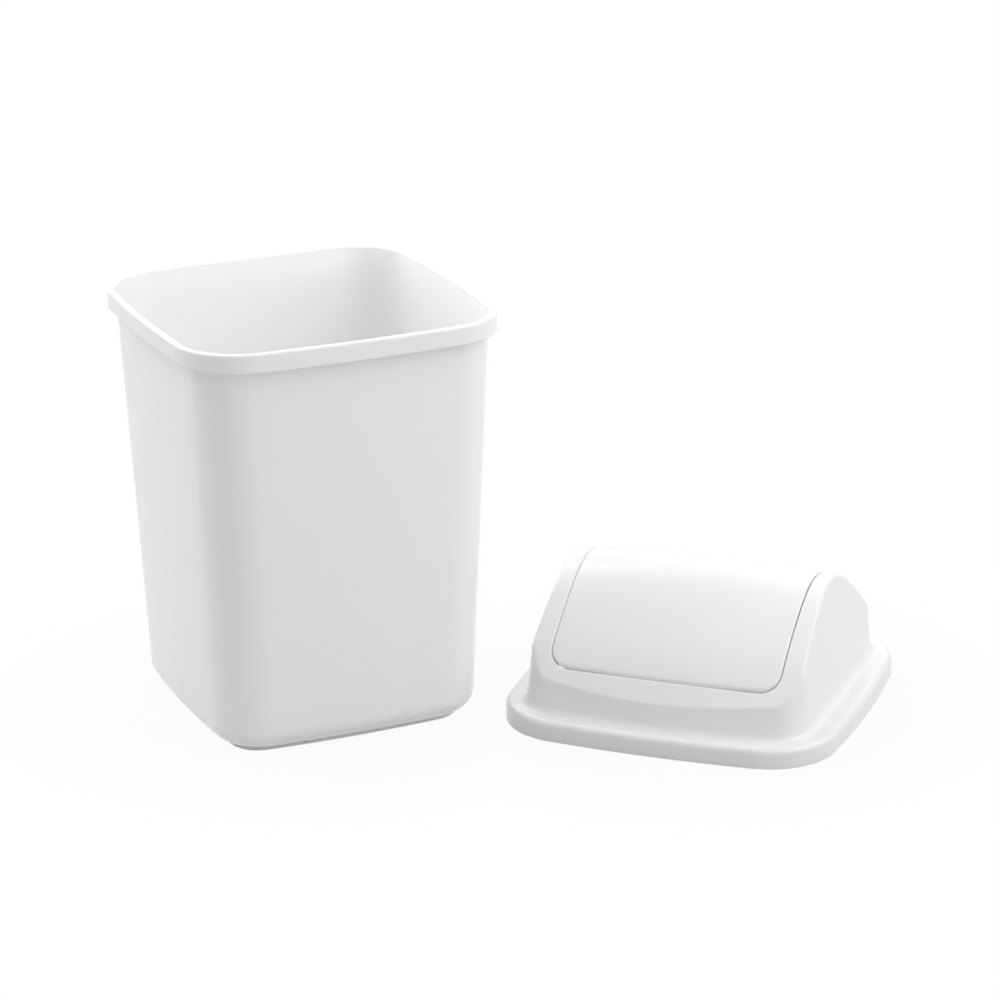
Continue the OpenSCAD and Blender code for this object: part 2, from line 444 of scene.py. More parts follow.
@dataclass
class BinBody:
    """Square tapered bin with a stepped collar round its rim, sizes in mm."""

    height: float = 215.0
    rim_half: float = 85.1
    rim_corner: float = 33.5
    band_height: float = 9.7
    band_foot_round: float = 0.5
    lip_round: float = 1.5
    lip_inner_round: float = 2.0
    flare_depth: float = 27.0  # over which the inside eases from the collar to the body
    flare_power: float = 3.4  # how soon it eases
    rim_wall: float = 4.1
    step: float = 5.1  # of the collar, out from the body
    draft: float = 7.6  # by which the wall stands further in at its foot
    body_corner: float = 26.4
    bow: float = 1.65  # of every side, at its middle
    wall: float = 2.2
    floor: float = 2.4
    bottom_round: float = 10.8
    foot_half: float = 62.9
    foot_corner: float = 16.2
    foot_height: float = 2.4
    foot_round: float = 0.7
    fillet: float = 0.3  # where the foot and the collar spring from the body
    fillet_swell: float = 0.05  # by which the collar's fillet starts early
    wall_rings: int = 22
    flare_rings: int = 24
    # from a round to the nearest ring of the wall beside it
    above_round: float = 1.5
    below_collar: float = 0.8
    below_lip: float = 0.4
    below_flare: float = 2.0
    above_floor_round: float = 1.0
    steps: RingSteps = field(default_factory=RingSteps)

    @property
    def shoulder_z(self) -> float:
        """Height of the underside of the collar."""
        return self.height - self.band_height

    @property
    def base_z(self) -> float:
        """Height at which the straight wall meets the round at the bottom."""
        return self.foot_height + self.bottom_round

    def body_half(self, z: float) -> float:
        """Half width of the body's outside at a height."""
        rise = (z - self.base_z) / (self.shoulder_z - self.base_z)
        return self.rim_half - self.step - self.draft * (1 - rise)

    def ring(self, half: float, corner: float, z: float) -> np.ndarray:
        """One level ring of the bin, N x 3."""
        outline = SoftRectangle(half, half, corner, self.bow, self.bow)
        return at_height(outline.trace(self.steps)[0], z)

    def rounded(self, half: float, corner: float, z: float, radius: float, bands: int,
                out: int = 1, up: int = 1) -> list[np.ndarray]:
        """Traces a round that starts level and ends upright.

        Args:
            half: Half width at its upright end.
            corner: Corner radius there.
            z: Height of its level start.
            radius: Radius of the round.
            bands: Number of bands.
            out: 1 where it runs outwards, -1 inwards.
            up: 1 where it runs up, -1 down.

        Returns:
            The rings, from its start to its end.
        """
        rings = []
        for rise, drawn in quarter_round(bands):
            inset = out * radius * (1 - rise)
            rings.append(self.ring(half - inset, corner - inset, z + up * radius * drawn))
        return rings

    def straight(self, start: float, end: float, inset: float) -> list[np.ndarray]:
        """Rings of the body's wall between two heights, drawn in by an inset."""
        return [self.ring(self.body_half(z) - inset, self.body_corner - inset, z)
                for z in np.linspace(start, end, self.wall_rings)]

    def outer_rings(self) -> list[np.ndarray]:
        """Traces the outside.

        Returns:
            Rings from the foot up to the crown of the lip.
        """
        fillet, swell = self.fillet, self.fillet_swell
        foot, foot_corner = self.foot_half, self.foot_corner
        half, corner = self.body_half(self.base_z), self.body_corner
        radius = self.bottom_round
        rings = self.rounded(foot, foot_corner, 0.0, self.foot_round, 4)
        rings.append(self.ring(foot, foot_corner, self.foot_height - fillet))
        rings.append(self.ring(foot + fillet, foot_corner + fillet, self.foot_height))
        rings.append(self.ring(half - radius - 2 * fillet, corner - radius,
                               self.foot_height))
        rings += self.rounded(half, corner, self.foot_height, radius, 14)
        rings += self.straight(self.base_z + self.above_round,
                               self.shoulder_z - self.below_collar, 0.0)
        shoulder = self.body_half(self.shoulder_z) + swell
        rings.append(self.ring(shoulder, corner, self.shoulder_z - fillet + swell))
        rings.append(self.ring(shoulder + fillet, corner + fillet, self.shoulder_z))
        rim, rim_corner = self.rim_half, self.rim_corner
        rings += self.rounded(rim, rim_corner, self.shoulder_z, self.band_foot_round, 4)
        rings += [self.ring(rim, rim_corner, z)
                  for z in np.linspace(self.shoulder_z + self.above_round,
                                       self.height - self.lip_round, 5)]
        lip = self.rounded(rim, rim_corner, self.height, self.lip_round, 7, up=-1)
        return rings + lip[-2::-1]

    def inner_rings(self) -> list[np.ndarray]:
        """Traces the inside.

        Returns:
            Rings from the crown of the lip down to the floor.
        """
        inner, inner_corner = self.rim_half - self.rim_wall, self.rim_corner - self.rim_wall
        rings = self.rounded(inner, inner_corner, self.height, self.lip_inner_round, 7,
                             out=-1, up=-1)
        top = self.height - self.lip_inner_round
        end_corner = self.body_corner - self.wall
        flare = inner - (self.body_half(top) - self.wall)
        for drop in np.linspace(self.below_lip, self.flare_depth, self.flare_rings):
            left = (1 - drop / self.flare_depth) ** self.flare_power
            plain = self.body_half(top - drop) - self.wall
            rings.append(self.ring(plain + flare * left,
                                   end_corner + (inner_corner - end_corner) * left,
                                   top - drop))
        radius = self.bottom_round - self.wall
        floor_z = self.foot_height + self.floor
        rings += self.straight(top - self.flare_depth - self.below_flare,
                               floor_z + radius + self.above_floor_round, self.wall)
        half = self.body_half(floor_z + radius) - self.wall
        return rings + self.rounded(half, end_corner, floor_z, radius, 12)[::-1]

    def build(self) -> bpy.types.Object:
        """Makes the bin as one closed skin.

        Returns:
            The piece, standing where the frame has it.
        """
        skin = Skin()
        index = skin.loft(self.outer_rings() + self.inner_rings())
        skin.cap(index[0], np.array([0.0, 0.0, 0.0]))
        skin.cap(index[-1], np.array([0.0, 0.0, self.foot_height + self.floor]))
        return skin.build("bin_shell", Matrix.Identity(4))

    def dress(self, piece: bpy.types.Object, finish: GlossWhite) -> None:
        """Gives the bin its finish and its place in the frame.

        Args:
            piece: The piece that build() made.
            finish: Its plastic.
        """
        piece.data.materials.append(finish.build())
        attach(piece, Body.BIN.value)
        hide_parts("bin_body")


# ---------------------------------------------------------------- the hood's surface


@dataclass(frozen=True)
class HoodRoof:
    """Curved roof of the hood over its plan, in the lid's own frame, in mm.

    The stations give its height along the gable ends, from the front to the back. They
    were measured on the photograph's outline and then smoothed by a fit. The two slopes
    swell outwards a little between the gables.
    """

    stations: tuple[tuple[float, float], ...] = (
        (-80.0, 15.7), (-70.0, 28.4), (-60.0, 40.3), (-50.0, 49.0), (-40.0, 56.3),
        (-30.0, 62.6), (-20.0, 67.6), (-10.0, 70.7), (0.0, 71.6), (10.0, 70.0),
        (20.0, 66.0), (30.0, 60.2), (40.0, 53.1), (50.0, 45.5), (60.0, 37.5),
        (70.0, 28.9), (80.0, 20.0),
    )
    crown: float = 2.4  # by which the crest is higher in its middle
    crown_reach: float = 50.0
    swell: float = 2.3
    swell_from: float = 15.0
    swell_full: float = 62.0
    half_x: float = 70.0
    probe: float = 0.05  # step over which a slope is measured

    def _spline(self) -> tuple[np.ndarray, np.ndarray, np.ndarray]:
        """Solves a natural cubic spline through the stations.

        Returns:
            The stations' places, heights and second derivatives.
        """
        y, z = np.array(self.stations).T
        gap = np.diff(y)
        matrix = np.eye(len(y))
        right = np.zeros(len(y))
        for i in range(1, len(y) - 1):
            matrix[i, i - 1] = gap[i - 1]
            matrix[i, i] = 2 * (gap[i - 1] + gap[i])
            matrix[i, i + 1] = gap[i]
            right[i] = 6 * ((z[i + 1] - z[i]) / gap[i] - (z[i] - z[i - 1]) / gap[i - 1])
        return y, z, np.linalg.solve(matrix, right)

    def along_gable(self, reach: np.ndarray) -> np.ndarray:
        """Finds the roof over a gable end.

        Args:
            reach: Places along the gable, from the front to the back.

        Returns:
            The roof's heights there.
        """
        y, z, bend = self._spline()
        i = np.clip(np.searchsorted(y, reach) - 1, 0, len(y) - 2)
        gap = y[i + 1] - y[i]
        a = (y[i + 1] - reach) / gap
        b = 1 - a
        return (a * z[i] + b * z[i + 1]
                + ((a ** 3 - a) * bend[i] + (b ** 3 - b) * bend[i + 1]) * gap * gap / 6)

    def height(self, x: np.ndarray, y: np.ndarray) -> np.ndarray:
        """Finds the roof over places in plan.

        Args:
            x: Places along the crest.
            y: Places from the front to the back.

        Returns:
            The roof's heights there.
        """
        middle = np.clip(1 - (x / self.half_x) ** 2, 0, 1)
        share = smooth_step((np.abs(y) - self.swell_from)
                            / (self.swell_full - self.swell_from))
        out = self.swell * share * np.sign(y) * middle
        top = self.crown * middle * (1 - smooth_step(np.abs(y) / self.crown_reach))
        return self.along_gable(y - out) + top

    def lift(self, plan: np.ndarray) -> np.ndarray:
        """Plan points (..., 2) put on the roof (..., 3)."""
        return np.concatenate(
            [plan, self.height(plan[..., 0], plan[..., 1])[..., None]], axis=-1)

    def normal(self, plan: np.ndarray) -> np.ndarray:
        """Finds which way the roof faces.

        Args:
            plan: Points in plan, (..., 2).

        Returns:
            The outward unit normals over them, (..., 3).
        """
        x, y = plan[..., 0], plan[..., 1]
        by = self.probe
        slope_x = (self.height(x + by, y) - self.height(x - by, y)) / (2 * by)
        slope_y = (self.height(x, y + by) - self.height(x, y - by)) / (2 * by)
        return unit(np.stack([-slope_x, -slope_y, np.ones_like(slope_x)], axis=-1))


@dataclass(frozen=True)
class Opening:
    """Outline of the opening in the roof, seen in plan, in mm."""

    half_x: float = 60.5
    front: float = 66.6
    back: float = 60.4
    corner_x: float = 10.0
    corner_y: float = 6.6
    least_corner: float = 1.0
    sill_bow: float = 2.1
    bow_from: float = 20.0
    bow_full: float = 60.0

    def trace(self, steps: RingSteps, side: float = 0.0, end: float = 0.0) -> np.ndarray:
        """Walks once round the outline, matching the points of a SoftRectangle.

        Args:
            steps: How finely the sides and corners are divided.
            side: How far the outline is drawn in at its two sides.
            end: How far it is drawn in at the front and back, in plan.

        Returns:
            The points, N x 2.
        """
        half = self.half_x - side
        front, back = self.front - end, self.back - end
        rx = max(self.corner_x - side, self.least_corner)
        ry = max(self.corner_y - end, self.least_corner)
        cx = half - rx
        low, high = -(front - ry), back - ry
        turn = np.linspace(0.0, QUARTER, steps.corner, endpoint=False)
        c, s = np.cos(turn) * rx, np.sin(turn) * ry
        climb = np.linspace(low, high, steps.side, endpoint=False)
        across = np.linspace(cx, -cx, steps.side, endpoint=False)
        parts = [
            np.column_stack([np.full(steps.side, half), climb]),
            np.column_stack([cx + c, high + s]),
            np.column_stack([across, np.full(steps.side, back)]),
            np.column_stack([-cx - s / ry * rx, high + c / rx * ry]),
            np.column_stack([np.full(steps.side, -half), high + low - climb]),
            np.column_stack([-cx - c, low - s]),
            np.column_stack([-across, np.full(steps.side, -front)]),
            np.column_stack([cx + s / ry * rx, low - c / rx * ry]),
        ]
        outline = np.concatenate(parts)
        bowed = self.sill_bow * np.clip(1 - (outline[:, 0] / self.half_x) ** 2, 0, 1)
        share = smooth_step((np.abs(outline[:, 1]) - self.bow_from)
                            / (self.bow_full - self.bow_from))
        outline[:, 1] += bowed * share * np.sign(outline[:, 1])
        return outline


# ---------------------------------------------------------------- the lid


@dataclass(frozen=True)
class LeaningWall:
    """Wall of the hood: it leans inwards from the ledge and rounds over onto the roof.

    A point of a ring keeps the foot in plan that it springs from. Its place is how far
    it lies inside that foot, and its height.
    """

    roof: HoodRoof
    plan: np.ndarray  # feet of the ring's points, N x 2
    normal: np.ndarray  # outward, N x 2
    lean: np.ndarray  # inwards for each mm of height
    ledge_z: float
    probe: float = 0.1  # step over which the roof's slope is measured
    passes: int = 8

    def ring(self, inside: np.ndarray, height: np.ndarray) -> np.ndarray:
        """Ring of points at their distances inside the foot and their heights."""
        return np.column_stack([self.plan - self.normal * inside[:, None], height])

    def foot_rings(self, radius: np.ndarray) -> list[np.ndarray]:
        """Rounds the ledge up into the wall.

        Args:
            radius: Radius of the round at each point.

        Returns:
            The rings, the lowest first.
        """
        return [self.ring(self.lean * radius * (1 - rise) - radius * drawn,
                          self.ledge_z + radius * (1 - rise))
                for rise, drawn in reversed(quarter_round(8))]

    def roof_inside(self, inside: np.ndarray) -> np.ndarray:
        """Height of the roof at distances inside the foot."""
        place = self.plan - self.normal * inside[:, None]
        return self.roof.height(place[:, 0], place[:, 1])

    def upper_rings(self, foot: np.ndarray, bend: np.ndarray) -> list[np.ndarray]:
        """Carries the wall up and rounds it over with an arc that touches the roof.

        Where the arc ends on the roof is found in a few passes, because the roof's
        slope there sets the arc.

        Args:
            foot: Radius of the round at the foot, at each point.
            bend: Radius of the arc at the top, at each point.

        Returns:
            The rings, from the round at the foot to the end of the arc.
        """
        lean = self.lean
        end = bend.copy()
        for _ in range(self.passes):
            level = self.roof_inside(end)
            slope = (self.roof_inside(end + self.probe) - level) / self.probe
            corner_z = ((level - slope * end - slope * lean * self.ledge_z)
                        / (1 - slope * lean))
            corner_u = lean * (corner_z - self.ledge_z)
            wall_dir = unit(np.stack([lean, np.ones_like(lean)], axis=1))
            roof_dir = unit(np.stack([np.ones_like(slope), slope], axis=1))
            turned = np.arccos(np.clip((wall_dir * roof_dir).sum(1), -1, 1))
            reach = bend * np.tan(turned / 2)
            end = corner_u + reach * roof_dir[:, 0]
        start_u = corner_u - reach * wall_dir[:, 0]
        start_z = corner_z - reach * wall_dir[:, 1]
        foot_u, foot_z = lean * foot, self.ledge_z + foot
        rings = [self.ring(foot_u + (start_u - foot_u) * share,
                           foot_z + (start_z - foot_z) * share)
                 for share in np.linspace(0.0, 1.0, 9)[1:-1]]
        centre_u = start_u + bend * wall_dir[:, 1]
        centre_z = start_z - bend * wall_dir[:, 0]
        first = np.arctan2(wall_dir[:, 0], -wall_dir[:, 1])
        last = np.arctan2(roof_dir[:, 0], -roof_dir[:, 1])
        for share in np.linspace(0.0, 1.0, 11):
            angle = first + (last - first) * share
            rings.append(self.ring(centre_u + bend * np.cos(angle),
                                   centre_z + bend * np.sin(angle)))
        return rings


@dataclass
class LidCover:
    """Lid with a skirt, a flat ledge and a hood with an opening, sizes in mm."""

    roof: HoodRoof
    opening: Opening
    place: Matrix
    half: float = 89.2
    corner: float = 36.2
    bow: float = 2.2
    ledge_z: float = 10.6
    skirt_round: float = 3.0
    wall: float = 2.2
    rim_round: float = 0.4
    edge_round: float = 1.3  # of the opening's edge, outside
    edge_inner_round: float = 0.9
    hood_half: float = 75.2
    hood_front: float = 78.8
    hood_back: float = 78.6
    hood_corner: float = 15.6
    hood_bow: float = 4.2
    gable_bow: float = 0.5
    gable_lean: float = 0.097  # inwards for each mm of height
    end_lean: float = 0.185
    foot_round: float = 2.4
    gable_foot_round: float = 3.3
    front_round: float = 3.5
    corner_round: float = 6.2  # more rounding of the roof's edge at the corners
    gable_round: float = 1.9
    round_change: float = 7.5  # how late the front's round turns into the gable's
    steps: RingSteps = field(default_factory=lambda: RingSteps(44, 16))

    def base(self) -> SoftRectangle:
        """Outline of the skirt."""
        return SoftRectangle(self.half, self.half, self.corner, self.bow, self.bow)

    def hood(self) -> SoftRectangle:
        """Outline of the hood at the ledge."""
        return SoftRectangle(self.hood_half, (self.hood_front + self.hood_back) / 2,
                             self.hood_corner, self.gable_bow, self.hood_bow,
                             (self.hood_back - self.hood_front) / 2)

    def base_rings(self) -> list[np.ndarray]:
        """Traces the skirt.

        Returns:
            Rings up the skirt and round onto the ledge.
        """
        base = self.base()
        top = self.ledge_z - self.skirt_round
        rings = [at_height(base.trace(self.steps)[0], z)
                 for z in np.linspace(self.rim_round, top, 6)]
        for rise, drawn in quarter_round(9)[1:]:
            ring = base.inset(self.skirt_round * drawn).trace(self.steps)[0]
            rings.append(at_height(ring, top + self.skirt_round * rise))
        return rings

    def hood_rings(self) -> list[np.ndarray]:
        """Traces the hood's walls.

        Returns:
            Rings from the round at the ledge up the walls and round onto the roof.
        """
        plan, normal = self.hood().trace(self.steps)
        turn = normal[:, 0] ** 2  # 0 at the front and back, 1 at the gables
        lean = np.abs(normal) @ (self.gable_lean, self.end_lean)
        foot = self.foot_round + (self.gable_foot_round - self.foot_round) * turn
        bend = (self.front_round
                + (self.gable_round - self.front_round) * turn ** self.round_change
                + self.corner_round * 4 * turn * (1 - turn))
        wall = LeaningWall(self.roof, plan, normal, lean, self.ledge_z)
        return wall.foot_rings(foot) + wall.upper_rings(foot, bend)

    def frame_rings(self, inner: np.ndarray) -> list[np.ndarray]:
        """Rings over the roof from the hood's rounded edge to the opening.

        Args:
            inner: The last ring of the rounded edge.

        Returns:
            Rings that end where the opening's edge begins to turn down.
        """
        edge = self.opening.trace(self.steps)
        tangent = np.roll(edge, -1, axis=0) - np.roll(edge, 1, axis=0)
        outward = unit(np.column_stack([tangent[:, 1], -tangent[:, 0]]))
        steep = self.roof.normal(edge)[:, 2]
        shrink = np.hypot(outward[:, 0], outward[:, 1] * steep)
        last = edge + outward * (shrink * self.edge_round)[:, None]
        return [self.roof.lift(inner[:, :2] * (1 - share) + last * share)
                for share in (0.25, 0.5, 0.75, 0.9, 1.0)]

    def window_rings(self, edge: np.ndarray, normal: np.ndarray,
                     across: np.ndarray) -> list[np.ndarray]:
        """Rounds the opening's edge over, down to its underside.

        Args:
            edge: Where the roof begins to turn down.
            normal: The roof's normals there.
            across: Directions in the roof towards the opening.

        Returns:
            The rings, from the roof down.
        """
        big, small = self.edge_round, self.edge_inner_round
        outer = [edge - normal * (big * drawn) + across * (big * rise)
                 for rise, drawn in quarter_round(8)[1:]]
        inner = [edge - normal * (big + small * rise) + across * (big - small * drawn)
                 for rise, drawn in quarter_round(4)[1:]]
        return outer + inner

    def rim_rings(self, first: np.ndarray, normal: np.ndarray) -> list[np.ndarray]:
        """Rounds the skirt's lower rim.

        Args:
            first: The lowest ring of the skirt's outside.
            normal: Its normals.

        Returns:
            The rings, from the outside under the rim to the inside.
        """
        radius = self.rim_round
        depth = [(radius * drawn, radius * rise) for rise, drawn in quarter_round(3)[1:]]
        rings = []
        for inward, down in depth + [(self.wall - i, d) for i, d in reversed(depth)]:
            ring = first - normal * inward
            ring[:, 2] = radius - down
            rings.append(ring)
        return rings

    def build(self) -> bpy.types.Object:
        """Makes the lid as one closed skin of even thickness.

        Returns:
            The piece, standing where the frame has it.
        """
        rings = self.base_rings()
        foot = self.hood_rings()
        ledge = [rings[-1] * (1 - share) + foot[0] * share for share in (0.3, 0.65)]
        outer = np.array(rings + ledge + foot + self.frame_rings(foot[-1]))
        along = np.roll(outer, -1, axis=1) - np.roll(outer, 1, axis=1)
        up = np.gradient(outer, axis=0)
        normal = unit(np.cross(along, up))
        normal[0] = unit(normal[0] * (1, 1, 0))
        inner = outer - normal * self.wall
        inner[0, :, 2] = outer[0, :, 2]
        across = unit(outer[-1] - outer[-2])
        window = self.window_rings(outer[-1], normal[-1], across)
        rim = self.rim_rings(outer[0], normal[0])
        skin = Skin()
        skin.loft(np.array(list(outer) + window + list(inner[::-1]) + rim[::-1]),
                  closed=True)
        return skin.build("lid_shell", self.place)

    def dress(self, piece: bpy.types.Object, finish: GlossWhite) -> None:
        """Gives the lid its finish and its place in the frame.

        Args:
            piece: The piece that build() made.
            finish: Its plastic.
        """
        piece.data.materials.append(finish.build())
        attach(piece, Body.LID.value)
        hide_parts("lid_cover")


# ---------------------------------------------------------------- the flap


@dataclass
class SwingFlap:
    """Two-way flap that fills the opening, with rolled edges and a flange, in mm."""

    roof: HoodRoof
    opening: Opening
    place: Matrix
    side_gap: float = 0.32
    end_gap: float = 0.1
    proud: float = 0.3  # above the lid's roof
    skin_wall: float = 2.0
    flange_wall: float = 1.8
    flange_depth: float = 6.0
    rim_round: float = 0.5  # at the flange's lower edge
    root_round: float = 1.0  # where the flange meets the underside
    end_round: float = 2.2
    side_round: float = 0.7
    cells_x: int = 60
    cells_y: int = 84
    tracing: RingSteps = RingSteps(160, 40)

    def boundary(self) -> np.ndarray:
        """Traces the flap's edge in plan.

        Returns:
            As many points as a patch has round its border, in the order of border().
        """
        steps = self.tracing
        dense = self.opening.trace(steps, self.side_gap, self.end_gap)
        corner = steps.corner
        # middle of each corner round, in the order in which trace() walks them
        marks = [steps.side + corner // 2 + k * (steps.side + corner) for k in range(4)]
        counts = (self.cells_x, self.cells_y, self.cells_x, self.cells_y)
        parts = []
        for k, count in enumerate(counts):
            start, stop = marks[k], marks[(k + 1) % 4]
            if stop < start:
                stop += len(dense)
            stretch = dense[np.arange(start, stop + 1) % len(dense)]
            along = np.concatenate([[0.0], np.cumsum(
                np.linalg.norm(np.diff(stretch, axis=0), axis=1))])
            place = np.linspace(0.0, along[-1], count, endpoint=False)
            parts.append(np.column_stack([np.interp(place, along, stretch[:, 0]),
                                          np.interp(place, along, stretch[:, 1])]))
        return np.concatenate(parts)

    def patch(self, ring: np.ndarray) -> np.ndarray:
        """Fills a border ring evenly from its four sides.

        Args:
            ring: The border in plan, in the order of border().

        Returns:
            The grid in plan, one point more each way than it has cells.
        """
        nx, ny = self.cells_x, self.cells_y
        closed = np.vstack([ring, ring[:1]])
        back = closed[:nx + 1]
        left = closed[nx:nx + ny + 1]
        front = closed[nx + ny:2 * nx + ny + 1][::-1]
        right = closed[2 * nx + ny:][::-1]
        u = np.linspace(0, 1, nx + 1)[:, None, None]
        v = np.linspace(0, 1, ny + 1)[None, :, None]
        sides = (1 - v) * back[:, None] + v * front[:, None]
        ends = (1 - u) * right[None] + u * left[None]
        corners = ((1 - u) * (1 - v) * back[0] + u * (1 - v) * back[-1]
                   + (1 - u) * v * front[0] + u * v * front[-1])
        return sides + ends - corners

    @staticmethod
    def border(index: np.ndarray) -> np.ndarray:
        """Indices round the border of a patch."""
        return np.concatenate([index[:-1, 0], index[-1, :-1],
                               index[:0:-1, -1], index[0, :0:-1]])

    def flange_rings(self, edge: np.ndarray, normal: np.ndarray, inward: np.ndarray,
                     radius: np.ndarray) -> list[np.ndarray]:
        """Rolls the flap's edge over into its flange, down and up again inside.

        Args:
            edge: Outermost points of the flap.
            normal: The roof's normals there.
            inward: Directions in the roof towards the flap's middle.
            radius: Radius of the rolled edge, one in each row.

        Returns:
            The rings, from the rolled edge to the underside.
        """
        start = edge + inward * radius
        top = (self.roof.lift(start[:, :2])
               + self.roof.normal(start[:, :2]) * self.proud)
        centre = top - normal * radius
        rings = [centre + radius * (normal * math.cos(t) - inward * math.sin(t))
                 for t in np.linspace(0, QUARTER, 9)[1:]]
        rim, wall = self.rim_round, self.flange_wall
        foot = edge - normal * (self.flange_depth - rim)
        rings += [rings[-1] * (1 - s) + foot * s for s in (0.4, 0.8, 1.0)]
        rings += [foot - normal * down + inward * across for across, down in (
            (0.3 * rim, 0.7 * rim), (rim, rim), (wall - rim, rim),
            (wall - 0.3 * rim, 0.7 * rim), (wall, 0.0))]
        root = self.root_round
        under = edge + inward * wall - normal * (self.skin_wall + root)
        hub = under + inward * root
        return rings + [under] + [
            hub + root * (normal * math.sin(t) - inward * math.cos(t))
            for t in np.linspace(0, QUARTER, 6)[1:-1]]

    def build(self) -> bpy.types.Object:
        """Makes the flap as one closed skin.

        Returns:
            The piece, standing where the frame has it.
        """
        plan = self.boundary()
        normal = self.roof.normal(plan)
        edge = self.roof.lift(plan) + normal * self.proud
        tangent = np.roll(edge, -1, axis=0) - np.roll(edge, 1, axis=0)
        inward = unit(np.cross(normal, tangent))
        if (inward[0] * (edge.mean(0) - edge[0])).sum() < 0:
            inward = -inward
        facing = np.abs(unit(inward * (1, 1, 0))[:, 1])
        radius = (self.side_round
                  + (self.end_round - self.side_round) * smooth_step(facing))[:, None]
        outer_plan = self.patch((edge + inward * radius)[:, :2])
        skin = Skin()
        outer = skin.grid(self.roof.lift(outer_plan)
                          + self.roof.normal(outer_plan) * self.proud)
        bands = skin.loft(self.flange_rings(edge, normal, inward, radius))
        skin.bridge(self.border(outer), bands[0])
        hollow = self.flange_wall + self.root_round
        inner_plan = self.patch((edge + inward * hollow)[:, :2])
        inner = skin.grid(self.roof.lift(inner_plan)
                          - self.roof.normal(inner_plan) * (self.skin_wall - self.proud))
        skin.bridge(bands[-1], self.border(inner))
        return skin.build("flap_panel", self.place)

    def dress(self, piece: bpy.types.Object, finish: GlossWhite) -> None:
        """Gives the flap its finish and its place in the frame.

        Args:
            piece: The piece that build() made.
            finish: Its plastic.
        """
        piece.data.materials.append(finish.build())
        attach(piece, Body.FLAP.value)
        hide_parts("swing_flap")


# ---------------------------------------------------------------- hinge


